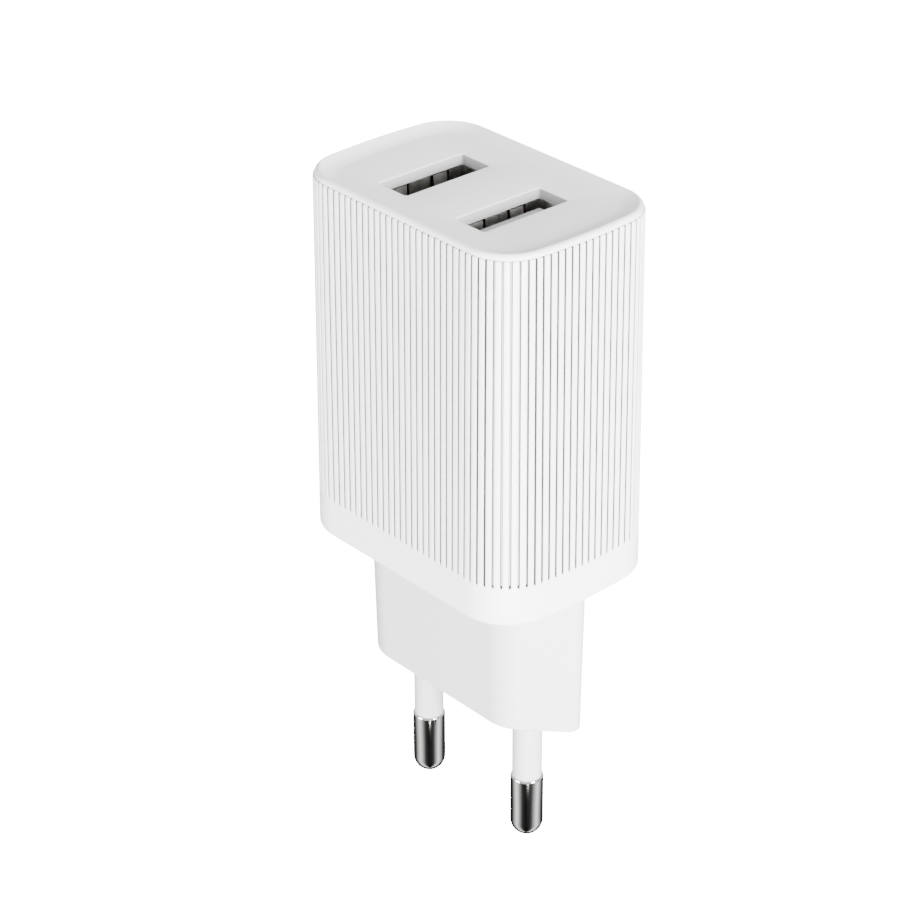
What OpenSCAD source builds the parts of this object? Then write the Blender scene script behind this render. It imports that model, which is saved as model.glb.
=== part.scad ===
// Wall charger with two USB sockets and a two-pin mains plug.
// A ribbed body is closed by a dished cover with the two sockets in it. Below
// it a narrow plug block carries two round pins, so that it reaches into a
// recessed wall socket. The power supply stands inside.
//
// Frame: the origin is the middle of the plug block's end face, between the
// pins. +X runs along the line of the pins, +Z runs up to the sockets, and the
// pins point along -Z.

/* [Body] */
// Width of the body across its short sides
body_w = 36.8; // [34:0.1:46]
// Depth of the body across its long sides
body_d = 24.7; // [24:0.1:32]
// Height of the body from its foot to the seam below the cover
body_h = 45.3; // [43:0.1:60]
// Radius of the body's upright corners
corner_r = 6.2; // [4.5:0.1:8]
// Radius of the slight outward curve of the short sides
side_curve_r = 75; // [50:1:300]
// Thickness of the side walls
wall_t = 1.8; // [1.6:0.1:2.2]
// Height of the smooth band between the foot and the ribs
band_h = 5; // [3:0.1:10]

/* [Ribs] */
// Distance from one groove to the next, rounded so that they close round the body
rib_pitch = 0.99; // [0.8:0.01:1.6]
// Width of a groove
groove_w = 0.28; // [0.2:0.01:0.4]
// Depth of a groove
groove_depth = 0.45; // [0.3:0.01:0.5]

/* [Cover] */
// Distance from the body's side to the cover's edge
cover_inset = 0.25; // [0.15:0.05:0.4]
// Height of the cover's crest above the seam
crest_h = 0.25; // [0.2:0.05:0.6]
// Distance from the body's side to the crest
crest_inset = 0.9; // [0.7:0.05:1.2]
// Depth of the dished middle below the crest
dish_depth = 0.75; // [0.4:0.05:1]
// Distance from the body's side to the flat middle of the dish
dish_inset = 2.6; // [1.8:0.1:3.2]
// Thickness of the cover around the sockets
cover_t = 1.3; // [1.1:0.1:1.5]
// Height of the skirt that locates the cover inside the walls
skirt_h = 2; // [1:0.1:3]

/* [Plug block] */
// Height of the plug block from its end face to the body
plug_h = 18.5; // [17:0.1:24]
// Width of the plug block over its two ridges, before they are rounded
plug_w = 36.2; // [34:0.1:36.4]
// Depth of the plug block across its flats
plug_d = 12.9; // [12:0.1:14]
// Width of the plug block's flats, before their edges are rounded
plug_flat_w = 22.5; // [20:0.1:24]
// Radius of the edges between the flats and the slanted sides
plug_edge_r = 5; // [3:0.1:6]
// Radius of the two ridges
plug_ridge_r = 1.2; // [0.6:0.1:2]
// Thickness of the plug block's walls
plug_wall = 1.8; // [1.4:0.1:2.2]
// Thickness of the plug block's end wall, which holds the pins
plug_end_t = 3; // [2.5:0.1:5]

/* [Pins] */
// Distance between the pins
pin_spacing = 18; // [17.5:0.1:19]
// Diameter of a pin's metal tip
pin_d = 4; // [3.9:0.05:4.2]
// Length of a pin beyond the plug face
pin_len = 19; // [17:0.1:19.5]
// Length of the insulating sleeve beyond the plug face
sleeve_len = 10.4; // [8:0.1:11]
// Diameter of the insulating sleeve
sleeve_d = 3.6; // [3.3:0.05:3.8]
// Diameter of the pin's core inside the sleeve
core_d = 2.8; // [2.4:0.05:3]
// Height of the pin's tail above the plug face
tail_h = 8; // [6:0.1:12]

/* [USB sockets] */
// Distance between the two sockets
port_spacing = 12.8; // [12.6:0.1:16]
// Offset of both sockets towards the front
port_front = 0.6; // [0:0.1:1]
// Width of an opening in the cover, along the short side
port_w = 4.7; // [4.7:0.05:5]
// Length of an opening in the cover, along the long side
port_l = 12.4; // [12.3:0.05:12.6]
// Inner width of a socket's steel shell
shell_in_w = 5.12; // [5.1:0.01:5.3]
// Inner length of a socket's steel shell
shell_in_l = 12.5; // [12.4:0.01:12.7]
// Thickness of the shell's sheet steel
sheet_t = 0.3; // [0.25:0.01:0.35]
// Height of a socket above its board
socket_h = 12.7; // [12:0.1:14]
// Thickness of the plastic tongue
tongue_t = 1.84; // [1.7:0.01:1.9]
// Width of the plastic tongue
tongue_l = 11.1; // [10.8:0.1:11.4]
// Depth of the tongue's end below the dish
tongue_drop = 2; // [1.8:0.1:3]
// Gap between the tongue and the shell's inboard wall
tongue_gap = 1; // [0.9:0.05:1.1]
// Travel of a contact's tip, in degrees about its root
contact_travel = 3.4; // [2:0.1:4]
// Reach of a grip spring's bend into the shell
grip_bend = 0.4; // [0.2:0.05:0.45]

/* [Boards] */
// Thickness of the circuit boards
board_t = 1.2; // [1:0.1:1.6]
// Gap between the main board's face and the long wall behind it
board_back_gap = 3.6; // [3.2:0.1:4]
// Diameter of the mains-side capacitors
bulk_cap_d = 8; // [6.3:0.1:8.4]
// Length of the mains-side capacitors
bulk_cap_len = 13; // [10:0.1:14]
// Diameter of the output capacitors
out_cap_d = 6.3; // [5:0.1:6.6]
// Length of the output capacitors
out_cap_len = 11; // [8:0.1:13]
// Width of the transformer's core
core_w = 16; // [14:0.1:17]
// Height of the transformer's core
core_h = 13; // [12:0.1:13.6]
// Thickness of the transformer's core
core_t = 4.8; // [4:0.1:6]

/* [Hidden] */
$fn = 48;

// Named clearances
fit_gap = 0.05;       // sliding fits between housing parts
part_gap = 0.3;       // loose parts inside the housing
hole_gap = 0.15;      // round a lead or a pin in its hole
hinge_gap = 0.06;     // between a spring strip and its fixed root
tail_drop = 1;        // solder tails below the port board

// Colours
white_plastic = "whitesmoke";
nickel = "silver";
steel = "lightgray";
copper = "peru";
board_green = "seagreen";

// Levels, from the plug face up
body_z = plug_h;
seam_z = body_z + body_h;
crest_z = seam_z + crest_h;
dish_z = crest_z - dish_depth;
cover_under_z = dish_z - cover_t;
ledge_z = seam_z - 1.5;
ledge_in = wall_t / 2;
socket_top_z = cover_under_z - fit_gap;
port_board_top_z = socket_top_z - socket_h;
port_board_z = port_board_top_z - board_t;
base_plate_t = 2;
foot_lip_t = 0.8;
foot_lip_w = 1;
base_top_z = body_z + base_plate_t;

// ---- Plan outline of the body ----
// A quarter of the outline is half of the straight long side, a corner arc and
// half of the curved short side. Lengths along it start at the middle of the
// long side.
corner_cx = body_w / 2 - side_curve_r
    + sqrt(pow(side_curve_r - corner_r, 2) - pow(body_d / 2 - corner_r, 2));
corner_cy = body_d / 2 - corner_r;
side_angle = asin(corner_cy / (side_curve_r - corner_r));
arc_unit = PI / 180;
corner_len = corner_r * (90 - side_angle) * arc_unit;
quarter_len = corner_cx + corner_len + side_curve_r * side_angle * arc_unit;

function quarter_point(s, inset) =
    s < corner_cx ? [s, body_d / 2 - inset] :
    s < corner_cx + corner_len ?
        let (a = (s - corner_cx) / corner_r / arc_unit)
        [corner_cx + (corner_r - inset) * sin(a), corner_cy + (corner_r - inset) * cos(a)] :
    let (a = side_angle - (s - corner_cx - corner_len) / side_curve_r / arc_unit)
    [body_w / 2 - side_curve_r + (side_curve_r - inset) * cos(a), (side_curve_r - inset) * sin(a)];

// Point at a length s anticlockwise round the outline, moved inwards by inset
function outline_point(s, inset) =
    let (t = s - 4 * quarter_len * floor(s / (4 * quarter_len)),
         q = floor(t / quarter_len),
         u = q % 2 == 0 ? t - q * quarter_len : (q + 1) * quarter_len - t,
         p = quarter_point(u, inset))
    [q < 2 ? p.x : -p.x, q == 0 || q == 3 ? -p.y : p.y];

// Lengths along a quarter at which a smooth outline has a corner point
corner_steps = 10;
side_steps = 2;
quarter_stops = concat(
    [for (k = [0 : corner_steps]) corner_cx + corner_len * k / corner_steps],
    [for (k = [1 : side_steps])
        corner_cx + corner_len + (quarter_len - corner_cx - corner_len) * k / side_steps]
);
last_stop = len(quarter_stops) - 1;
function smooth_ring(inset) = [
    for (q = [0 : 3], k = [0 : last_stop - (q % 2)])
        outline_point(q % 2 == 0 ? q * quarter_len + quarter_stops[k]
                      : (q + 1) * quarter_len - quarter_stops[last_stop - 1 - k], inset)
];
module plan(inset) { polygon(smooth_ring(inset)); }

groove_count = 4 * round(quarter_len / rib_pitch);
groove_step = 4 * quarter_len / groove_count;
function ribbed_ring(inset) = [
    for (k = [0 : groove_count - 1], corner = [[-1, 0], [-1, 1], [1, 1], [1, 0]])
        outline_point((k + 0.5) * groove_step + corner[0] * groove_w / 2,
                      inset + corner[1] * groove_depth)
];

// ---- Plan outline of the plug block ----
// Six-sided, with its edges rounded: each corner is an arc that touches both sides.
function plug_corners(grow) =
    let (a = plug_w / 2 + grow, b = plug_flat_w / 2 + grow / 2, c = plug_d / 2 + grow)
    [[a, 0, plug_ridge_r], [b, c, plug_edge_r], [-b, c, plug_edge_r],
     [-a, 0, plug_ridge_r], [-b, -c, plug_edge_r], [b, -c, plug_edge_r]];
function rounded_ring(corners, steps = 6) = [
    for (i = [0 : len(corners) - 1])
        let (n = len(corners),
             p = [corners[i].x, corners[i].y],
             prev = [corners[(i + n - 1) % n].x, corners[(i + n - 1) % n].y],
             next = [corners[(i + 1) % n].x, corners[(i + 1) % n].y],
             d0 = (prev - p) / norm(prev - p),
             d1 = (next - p) / norm(next - p),
             half = acos(d0 * d1) / 2,
             r = corners[i].z,
             mid = (d0 + d1) / norm(d0 + d1),
             centre = p + mid * r / sin(half),
             start = atan2(-mid.y, -mid.x))
        for (k = [0 : steps])
            let (a = start - (90 - half) + k * 2 * (90 - half) / steps)
            centre + r * [cos(a), sin(a)]
];
module plug_plan(grow) { polygon(rounded_ring(plug_corners(grow))); }

// ---- Housing ----
module ribbed_shell() {
    color(white_plastic)
    difference() {
        union() {
            translate([0, 0, body_z])
                linear_extrude(band_h)
                    plan(0);
            translate([0, 0, body_z + band_h])
                linear_extrude(body_h - band_h)
                    polygon(ribbed_ring(0));
        }
        translate([0, 0, body_z - 1])
            linear_extrude(body_h)
                plan(wall_t + foot_lip_w);
        translate([0, 0, body_z + foot_lip_t])
            linear_extrude(body_h)
                plan(wall_t);
        translate([0, 0, ledge_z])
            linear_extrude(seam_z - ledge_z + 1)
                plan(ledge_in);
    }
}

module port_places() {
    for (side = [-1, 1])
        translate([side * port_spacing / 2, -port_front, 0])
            children();
}

module top_cover() {
    mouth_round = 0.3;
    color(white_plastic)
    difference() {
        union() {
            translate([0, 0, seam_z])
                linear_extrude(crest_h)
                    plan(cover_inset);
            translate([0, 0, ledge_z])
                linear_extrude(seam_z - ledge_z)
                    plan(ledge_in + fit_gap);
            translate([0, 0, ledge_z - skirt_h])
                linear_extrude(skirt_h)
                    plan(wall_t + fit_gap);
        }
        translate([0, 0, dish_z])
            linear_extrude(dish_depth + 1)
                plan((crest_inset + dish_inset) / 2);
        translate([0, 0, ledge_z - skirt_h - 1])
            linear_extrude(cover_under_z - ledge_z + skirt_h + 1)
                plan(wall_t + fit_gap + 1);
        port_places() {
            translate([-port_w / 2, -port_l / 2, cover_under_z - 1])
                cube([port_w, port_l, crest_z - cover_under_z + 2]);
            mouth_bevel(mouth_round);
        }
    }
}

// Sloping edge round an opening: one wedge along each of its sides
module mouth_bevel(size) {
    for (turn = [0, 1, 2, 3]) {
        reach = turn % 2 == 0 ? port_w / 2 : port_l / 2;
        span = turn % 2 == 0 ? port_l : port_w;
        rotate(turn * 90)
            translate([reach, span / 2, dish_z])
                rotate([90, 0, 0])
                    linear_extrude(span)
                        polygon([[-size, size], [-size, -size], [0, -size], [size, 0], [size, size]]);
    }
}

module pin_places() {
    for (side = [-1, 1])
        translate([side * pin_spacing / 2, 0, 0])
            children();
}

module plug_base() {
    color(white_plastic)
    difference() {
        union() {
            linear_extrude(body_z)
                plug_plan(0);
            translate([0, 0, body_z])
                linear_extrude(foot_lip_t)
                    plan(wall_t + foot_lip_w + fit_gap);
            translate([0, 0, body_z + foot_lip_t])
                linear_extrude(base_plate_t - foot_lip_t)
                    plan(wall_t + fit_gap);
        }
        translate([0, 0, plug_end_t])
            linear_extrude(base_top_z)
                plug_plan(-plug_wall);
        pin_places() {
            translate([0, 0, -1])
                cylinder(d = sleeve_d, h = plug_end_t + 2);
            translate([-strip_w / 2 - part_gap, 0, strip_bend_z - part_gap])
                cube([strip_w + 2 * part_gap, board_back_y + strip_t + part_gap, base_plate_t]);
        }
    }
}

// ---- Pins ----
module pin() {
    tip_z = -pin_len + pin_d / 2;
    color(nickel)
    union() {
        translate([0, 0, tip_z])
            rotate_extrude()
                intersection() {
                    circle(d = pin_d);
                    translate([0, -pin_d])
                        square([pin_d, pin_d]);
                }
        translate([0, 0, tip_z])
            cylinder(d = pin_d, h = -sleeve_len - tip_z);
        translate([0, 0, -sleeve_len])
            cylinder(d = core_d, h = sleeve_len + tail_h);
    }
}
module pin_left() { translate([-pin_spacing / 2, 0, 0]) pin(); }
module pin_right() { translate([pin_spacing / 2, 0, 0]) pin(); }

module pin_sleeve() {
    color(white_plastic)
    translate([0, 0, -sleeve_len])
    difference() {
        cylinder(d = sleeve_d, h = sleeve_len + plug_end_t);
        translate([0, 0, -1])
            cylinder(d = core_d, h = sleeve_len + plug_end_t + 2);
    }
}
module pin_sleeve_left() { translate([-pin_spacing / 2, 0, 0]) pin_sleeve(); }
module pin_sleeve_right() { translate([pin_spacing / 2, 0, 0]) pin_sleeve(); }

// ---- Main board ----
// It stands along the long wall at the back, with its parts towards the front.
board_face_y = body_d / 2 - wall_t - board_back_gap - board_t;
board_back_y = board_face_y + board_t;
board_z = base_top_z + part_gap;
board_top_z = port_board_z - tail_drop - part_gap;
board_w = 2 * (corner_cx + corner_r - wall_t - 3 * part_gap);
lead_d = 0.6;

// Places on the main board: x, and height above its lower edge
bulk_cap_places = [[-10.5, 4.8], [-2, 4.8]];
transformer_place = [-4, 17.3];
out_cap_places = [[11.6, 14.6], [11.6, 21.4]];
choke_place = [12, 4.8];
opto_place = [5.9, 4.8];
safety_cap_place = [6.3, 17];
bridge_place = [-10, 13.5];
controller_place = [-10, 19.8];
rectifier_place = [6, 18];
cap_lead_reach = 1.25;
bobbin_pin_x = [-5, 0, 5];
bobbin_pin_z = core_h / 2 + 0.9;

function cap_leads(place) = [for (side = [-1, 1]) place + [side * cap_lead_reach, 0]];
lead_places = concat(
    [for (p = concat(bulk_cap_places, out_cap_places)) each cap_leads(p)],
    [for (x = bobbin_pin_x, side = [-1, 1]) transformer_place + [x, side * bobbin_pin_z]]
);

module main_board() {
    color(board_green)
    difference() {
        translate([-board_w / 2, board_face_y, board_z])
            cube([board_w, board_t, board_top_z - board_z]);
        for (p = lead_places)
            translate([p.x, board_face_y - 1, board_z + p.y])
                rotate([-90, 0, 0])
                    cylinder(d = lead_d + 2 * hole_gap, h = board_t + 2);
    }
}

// Children stand on the main board's face, their own +Z pointing to the front
module on_board(place) {
    translate([place.x, board_face_y, board_z + place.y])
        rotate([90, 0, 0])
            children();
}
// Children stand on the main board's back, their own +Z pointing to the back
module behind_board(place) {
    translate([place.x, board_back_y, board_z + place.y])
        rotate([-90, 0, 0])
            children();
}
module lead(x, y) {
    translate([x, y, -board_t - 1])
        cylinder(d = lead_d, h = board_t + 1);
}

// Round capacitor with a crimp groove near its foot and a scored top
module can_capacitor(d, length, sleeve_colour) {
    groove_z = length * 0.12;
    score = 0.2;
    color(sleeve_colour) {
        difference() {
            cylinder(d = d, h = length);
            translate([0, 0, groove_z])
                rotate_extrude()
                    translate([d / 2 + 0.25, 0])
                        circle(d = 1);
            for (turn = [0, 90])
                rotate(turn)
                    translate([-d / 4, -score / 2, length - score])
                        cube([d / 2, score, score + 1]);
        }
        for (side = [-1, 1])
            lead(side * cap_lead_reach, 0);
    }
}
module bulk_capacitor_left() {
    on_board(bulk_cap_places[0]) can_capacitor(bulk_cap_d, bulk_cap_len, "darkslategray");
}
module bulk_capacitor_right() {
    on_board(bulk_cap_places[1]) can_capacitor(bulk_cap_d, bulk_cap_len, "darkslategray");
}
module output_capacitor_lower() {
    on_board(out_cap_places[0]) can_capacitor(out_cap_d, out_cap_len, "midnightblue");
}
module output_capacitor_upper() {
    on_board(out_cap_places[1]) can_capacitor(out_cap_d, out_cap_len, "midnightblue");
}

// Flat package with bent legs along two sides
module chip(w, l, h, legs, leg_step) {
    leg_w = 0.4;
    leg_reach = 0.9;
    color("dimgray") {
        translate([-w / 2, -l / 2, 0.1])
            cube([w, l, h]);
        for (side = [-1, 1], k = [0 : legs - 1])
            translate([side * (w / 2 + leg_reach / 2) - leg_reach / 2,
                       (k - (legs - 1) / 2) * leg_step - leg_w / 2, 0])
                cube([leg_reach, leg_w, h / 2 + 0.1]);
    }
}
module bridge_rectifier() {
    behind_board(bridge_place) chip(3.9, 4.7, 2, 2, 2.54);
}
module controller_chip() {
    behind_board(controller_place) chip(3.9, 4.9, 1.4, 4, 1.27);
}
module output_rectifier() {
    behind_board(rectifier_place) chip(4, 5.2, 1.8, 1, 1.2);
}
module snubber_parts() {
    color("tan")
    for (p = [[-3, 13, 0], [-3, 15.5, 0], [-3, 18, 0], [-3, 20.5, 0], [5, 6, 0], [5, 9, 0]])
        behind_board([p[0], p[1]])
            rotate(p[2])
                translate([-1.6, -0.8, 0])
                    cube([3.2, 1.6, 0.7]);
}
module filter_choke() {
    color("dimgray")
    on_board(choke_place)
        rotate_extrude()
            polygon([[0, 0], [2.8, 0], [2.8, 1], [2, 1], [2, 6], [2.8, 6], [2.8, 7], [0, 7]]);
}
module optocoupler() {
    on_board(opto_place) chip(4.4, 4.5, 3, 2, 2.54);
}
module safety_capacitor() {
    color("steelblue")
    on_board(safety_cap_place)
        translate([0, 0, 3.7])
            rotate([0, 90, 0])
                rotate_extrude()
                    polygon([[0, -1.1], [2.4, -1.1], [3.1, -0.5], [3.1, 0.5], [2.4, 1.1], [0, 1.1]]);
}

// ---- Transformer ----
// Two E-shaped ferrite halves round a plastic bobbin; its winding runs round
// the upright middle leg. Its own +Z points to the front, its +Y points up.
transformer_depth = 13;
leg_w = 4;
side_leg_w = 1.9;
back_t = 2;
window_w = core_w - 2 * side_leg_w;
window_h = core_h - 2 * back_t;
tube_wall = 0.6;
flange_t = 0.8;
core_mid = 6.9;

module centred_block(w, h, t) {
    translate([-w / 2, -h / 2, -t / 2])
        cube([w, h, t]);
}
module in_transformer() {
    on_board(transformer_place)
        translate([0, 0, core_mid])
            children();
}
module transformer_core() {
    color("darkslategray")
    in_transformer() {
        difference() {
            centred_block(core_w, core_h, core_t);
            centred_block(window_w, window_h, core_t + 1);
        }
        centred_block(leg_w, window_h, core_t);
    }
}
module transformer_bobbin() {
    tube_w = leg_w + 2 * (tube_wall + fit_gap);
    tube_t = core_t + 2 * (tube_wall + fit_gap);
    rail_z = core_t / 2 + 0.8;
    rail_t = core_mid - rail_z;
    color("dimgray")
    in_transformer() {
        difference() {
            union() {
                centred_block(tube_w, window_h - 2 * fit_gap, tube_t);
                for (side = [-1, 1])
                    translate([0, side * (window_h / 2 - fit_gap - flange_t / 2), 0])
                        centred_block(window_w - 2 * fit_gap, flange_t, transformer_depth - 1.2);
            }
            centred_block(leg_w + 2 * fit_gap, window_h + 1, core_t + 2 * fit_gap);
        }
        for (side = [-1, 1]) {
            translate([0, side * (core_h / 2 - 0.7), -rail_z - rail_t / 2])
                centred_block(window_w + 1, 4, rail_t);
            for (x = bobbin_pin_x)
                translate([x, side * bobbin_pin_z, -core_mid])
                    lead(0, 0);
        }
    }
}
module transformer_winding() {
    wound_h = window_h - 2 * fit_gap - 2 * flange_t;
    tube_w = leg_w + 2 * (tube_wall + fit_gap);
    tube_t = core_t + 2 * (tube_wall + fit_gap);
    color(copper)
    in_transformer()
        difference() {
            centred_block(window_w - 0.8, wound_h, transformer_depth - 2);
            centred_block(tube_w, wound_h + 1, tube_t);
        }
}
module transformer_tape() {
    tape_t = 0.15;
    color("gold")
    in_transformer()
        difference() {
            centred_block(core_w + 2 * tape_t, core_h + 2 * tape_t, core_t - 1);
            centred_block(core_w, core_h, core_t);
        }
}

module insulation_sheet() {
    sheet = 0.25;
    color("ivory")
    translate([-corner_cx, board_back_y + board_back_gap - sheet - part_gap, board_z])
        cube([2 * corner_cx, sheet, board_top_z - board_z]);
}

// ---- Mains side, inside the plug block ----
strip_t = 0.4;
strip_w = 3;
strip_bend_z = board_z - part_gap - strip_t;
module mains_strip(side) {
    strip_y = core_d / 2;
    foot_z = tail_h - 4;
    bend_z = strip_bend_z;
    color(copper)
    translate([side * pin_spacing / 2 - strip_w / 2, 0, 0]) {
        translate([0, strip_y, foot_z])
            cube([strip_w, strip_t, bend_z - foot_z + strip_t]);
        translate([0, strip_y, bend_z])
            cube([strip_w, board_back_y - strip_y + strip_t, strip_t]);
        translate([0, board_back_y, bend_z])
            cube([strip_w, strip_t, 3.2]);
    }
}
module mains_strip_left() { mains_strip(-1); }
module mains_strip_right() { mains_strip(1); }

module fusible_resistor() {
    body_d1 = 3.4;
    body_len = 9;
    color("darkseagreen")
    translate([0, 0, plug_h - body_len - 3]) {
        rotate_extrude()
            polygon([[0, 0], [1.2, 0], [body_d1 / 2, 0.6], [body_d1 / 2, 2], [1.5, 2.4],
                     [1.5, body_len - 2.4], [body_d1 / 2, body_len - 2],
                     [body_d1 / 2, body_len - 0.6], [1.2, body_len], [0, body_len]]);
        translate([0, 0, -2.4])
            cylinder(d = lead_d, h = body_len + 4.6);
    }
}

// ---- Port board ----
link_places = [for (k = [-1.5 : 1.5]) 7 + k * 2.54];
module port_board() {
    edge_in = wall_t + part_gap;
    shell_leg = [sheet_t + 2 * hole_gap, 2 + 2 * hole_gap];
    color(board_green)
    difference() {
        translate([0, 0, port_board_z])
            linear_extrude(board_t)
                plan(edge_in);
        port_places() {
            for (side = [-1, 1])
                translate([-1 - hole_gap, side * (shell_in_l + sheet_t) / 2 - shell_leg.x / 2,
                           port_board_z - 1])
                    cube([shell_leg.y, shell_leg.x, board_t + 2]);
            for (y = contact_y)
                translate([-1.6, y - 0.5, port_board_z - 1])
                    cube([3.2, 1, board_t + 2]);
        }
        for (x = link_places)
            translate([x, link_y, port_board_z - 1])
                cylinder(d = 0.9 + 2 * hole_gap, h = board_t + 2);
    }
}
link_y = board_back_y + 0.6;
module board_link_pins() {
    color("goldenrod")
    for (x = link_places)
        translate([x - 0.32, link_y - 0.32, board_top_z - 3])
            cube([0.64, 0.64, port_board_top_z - board_top_z + 4]);
}
module charging_chips() {
    for (side = [-1, 1])
        translate([side * 10.5, -port_front - 3.5, port_board_z])
            mirror([0, 0, 1])
                chip(1.6, 2.9, 1, 3, 0.95);
}

// ---- USB sockets ----
// The two sockets mirror each other: in both, the tongue is nearer to the middle
// of the charger, and its contacts face outwards. Each module below draws the
// right-hand socket about its own centre, with +X outwards.
contact_y = [-3.5, -1, 1, 3.5];
grip_y = [-3, 3];
tongue_x = -shell_in_w / 2 + tongue_gap;
tongue_face_x = tongue_x + tongue_t;
tongue_top_z = dish_z - tongue_drop;
insulator_top_z = port_board_top_z + 2.6;
contact_root_z = port_board_top_z + 3.6;
contact_len = tongue_top_z - 1.4 - contact_root_z;
contact_t = 0.2;
contact_w = 1;
contact_slot = 0.45;
contact_root_x = tongue_face_x - contact_slot + contact_t / 2 + 0.05;
contact_lean = atan((contact_slot + 0.32) / contact_len);
grip_len = 6;
grip_w = 2;
grip_root_z = socket_top_z - 0.2 - grip_len;
grip_slot = 0.4;

module at_port(side) {
    translate([side * port_spacing / 2, -port_front, 0])
        mirror([side < 0 ? 1 : 0, 0, 0])
            children();
}

module socket_shell() {
    out_w = shell_in_w + 2 * sheet_t;
    out_l = shell_in_l + 2 * sheet_t;
    window_w1 = grip_w + 2 * grip_slot;
    leg_drop = board_t + tail_drop;
    color(steel) {
        difference() {
            translate([-out_w / 2, -out_l / 2, port_board_top_z])
                cube([out_w, out_l, socket_h]);
            translate([-shell_in_w / 2, -shell_in_l / 2, port_board_top_z - 1])
                cube([shell_in_w, shell_in_l, socket_h + 2]);
            for (wall = [-1, 1], y = grip_y)
                translate([wall * (shell_in_w + sheet_t) / 2 - 1, y - window_w1 / 2,
                           grip_root_z - hinge_gap])
                    cube([2, window_w1, grip_len + hinge_gap + 1]);
        }
        for (side = [-1, 1])
            translate([-1, side * (shell_in_l + sheet_t) / 2 - sheet_t / 2,
                       port_board_top_z - leg_drop])
                cube([2, sheet_t, leg_drop]);
    }
}
module socket_shell_left() { at_port(-1) socket_shell(); }
module socket_shell_right() { at_port(1) socket_shell(); }

module socket_tongue() {
    color("white")
    difference() {
        union() {
            translate([-shell_in_w / 2, -shell_in_l / 2, port_board_top_z])
                cube([shell_in_w, shell_in_l, insulator_top_z - port_board_top_z]);
            translate([tongue_x, -tongue_l / 2, port_board_top_z])
                cube([tongue_t, tongue_l, tongue_top_z - port_board_top_z]);
        }
        for (y = contact_y)
            translate([tongue_face_x - contact_slot, y - contact_w / 2 - 0.1,
                       port_board_top_z - 1])
                cube([contact_slot + 0.1, contact_w + 0.2,
                      contact_root_z + contact_len + 0.5 - port_board_top_z + 1]);
    }
}
module socket_tongue_left() { at_port(-1) socket_tongue(); }
module socket_tongue_right() { at_port(1) socket_tongue(); }

// Sprung part of the contacts: it leans out of the tongue about its root
module contact_springs() {
    color("gold")
    translate([contact_root_x, 0, contact_root_z])
        rotate([0, contact_lean, 0])
            for (y = contact_y)
                translate([-contact_t / 2, y - contact_w / 2, 0])
                    cube([contact_t, contact_w, contact_len]);
}
module contact_springs_left() { at_port(-1) contact_springs(); }
module contact_springs_right() { at_port(1) contact_springs(); }

// Fixed part of the contacts: it stands in the tongue's slots and is soldered
module contact_tails() {
    below = board_t + tail_drop;
    color("gold")
    for (y = contact_y)
        translate([contact_root_x - contact_t / 2, y - 0.3, port_board_top_z - below])
            cube([contact_t, 0.6, contact_root_z - hinge_gap - port_board_top_z + below]);
}
module contact_tails_left() { at_port(-1) contact_tails(); }
module contact_tails_right() { at_port(1) contact_tails(); }

// Grip springs cut from the shell's wall, bent in and back out towards the
// mouth; wall is -1 inboard and 1 outboard
module grip_springs(wall) {
    color(steel)
    for (y = grip_y)
        translate([wall * (shell_in_w + sheet_t) / 2, y + grip_w / 2, grip_root_z])
            mirror([wall < 0 ? 1 : 0, 0, 0])
                rotate([90, 0, 0])
                    linear_extrude(grip_w)
                        polygon([[-sheet_t / 2, 0], [sheet_t / 2, 0],
                                 [sheet_t / 2 - grip_bend, grip_len * 0.62],
                                 [sheet_t / 2, grip_len], [-sheet_t / 2, grip_len],
                                 [-sheet_t / 2 - grip_bend, grip_len * 0.62]]);
}
module grip_springs_left_inner() { at_port(-1) grip_springs(-1); }
module grip_springs_left_outer() { at_port(-1) grip_springs(1); }
module grip_springs_right_inner() { at_port(1) grip_springs(-1); }
module grip_springs_right_outer() { at_port(1) grip_springs(1); }

ribbed_shell();
top_cover();
plug_base();
pin_left();
pin_right();
pin_sleeve_left();
pin_sleeve_right();
mains_strip_left();
mains_strip_right();
fusible_resistor();
main_board();
bulk_capacitor_left();
bulk_capacitor_right();
bridge_rectifier();
filter_choke();
controller_chip();
snubber_parts();
transformer_core();
transformer_bobbin();
transformer_winding();
transformer_tape();
safety_capacitor();
optocoupler();
output_rectifier();
output_capacitor_lower();
output_capacitor_upper();
insulation_sheet();
port_board();
board_link_pins();
charging_chips();
socket_shell_left();
socket_shell_right();
socket_tongue_left();
socket_tongue_right();
contact_springs_left();
contact_springs_right();
contact_tails_left();
contact_tails_right();
grip_springs_left_inner();
grip_springs_left_outer();
grip_springs_right_inner();
grip_springs_right_outer();
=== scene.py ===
"""Looks for the wall charger: shell, cover, plug block, pins and sleeves are drawn here.

The rest is finished CAD. Each piece's section works in millimetres and its mesh holds metres.
The studio's floor, camera and lights are placed in metres.
"""
import bmesh
import bpy
import numpy as np
from mathutils import Matrix


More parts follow.
